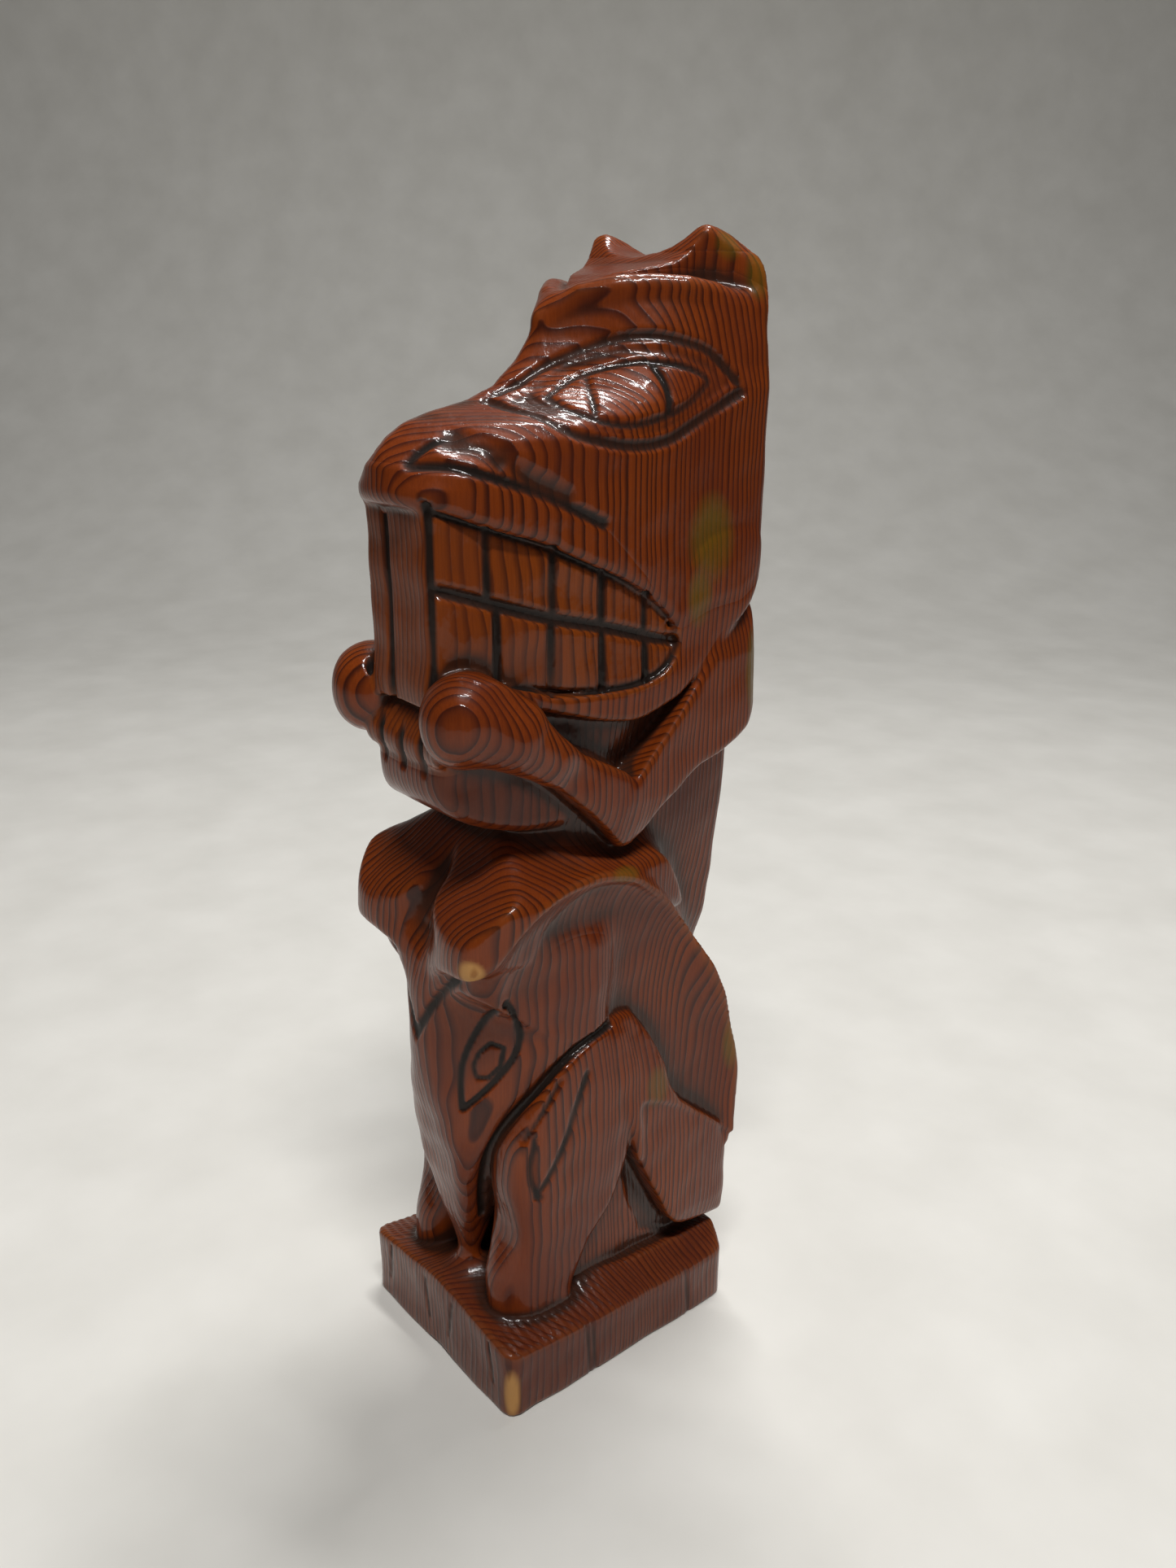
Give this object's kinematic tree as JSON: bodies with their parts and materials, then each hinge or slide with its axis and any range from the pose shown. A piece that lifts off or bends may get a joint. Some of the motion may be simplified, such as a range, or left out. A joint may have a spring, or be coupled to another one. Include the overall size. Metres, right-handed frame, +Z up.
{
  "type": "carved totem figure",
  "caption": "Small carved wooden totem-style figure: a toothed beast's head held by its own fists above a crouching beaked creature on a square base.",
  "frame": {"origin": "centre of the base's underside, on the surface that the figure stands on", "axes": "+Z up along the carving; the figure faces -Y; its left side is +X"},
  "size_m": [0.046, 0.0621, 0.1972],
  "materials": {
    "varnished_cedar": "red-brown stained softwood with carved dark grooves, gloss varnish",
    "tooth_cedar": "orange-brown stained softwood, thin gloss varnish, vertical grain",
    "base_cedar": "dark red-brown stained softwood, gloss varnish, knife-cut edges"
  },
  "bodies": {
    "root": {"base_plinth": "base_cedar", "torso": "varnished_cedar", "lower_mask": "varnished_cedar", "beak": "varnished_cedar", "left_leg": "varnished_cedar", "right_leg": "varnished_cedar", "left_haunch": "varnished_cedar", "right_haunch": "varnished_cedar", "left_wing": "varnished_cedar", "right_wing": "varnished_cedar", "neck": "varnished_cedar", "left_lobe": "varnished_cedar", "right_lobe": "varnished_cedar", "lower_jaw": "varnished_cedar", "small_front_teeth": "tooth_cedar", "upper_teeth": "tooth_cedar", "lower_teeth": "tooth_cedar", "left_fist": "varnished_cedar", "right_fist": "varnished_cedar", "left_upper_arm": "varnished_cedar", "right_upper_arm": "varnished_cedar", "left_forearm": "varnished_cedar", "right_forearm": "varnished_cedar", "snout": "varnished_cedar", "upper_lip": "varnished_cedar", "head": "varnished_cedar", "crown": "varnished_cedar", "left_ear": "varnished_cedar", "right_ear": "varnished_cedar", "left_eye": "varnished_cedar", "right_eye": "varnished_cedar"}
  },
  "joints": []
}
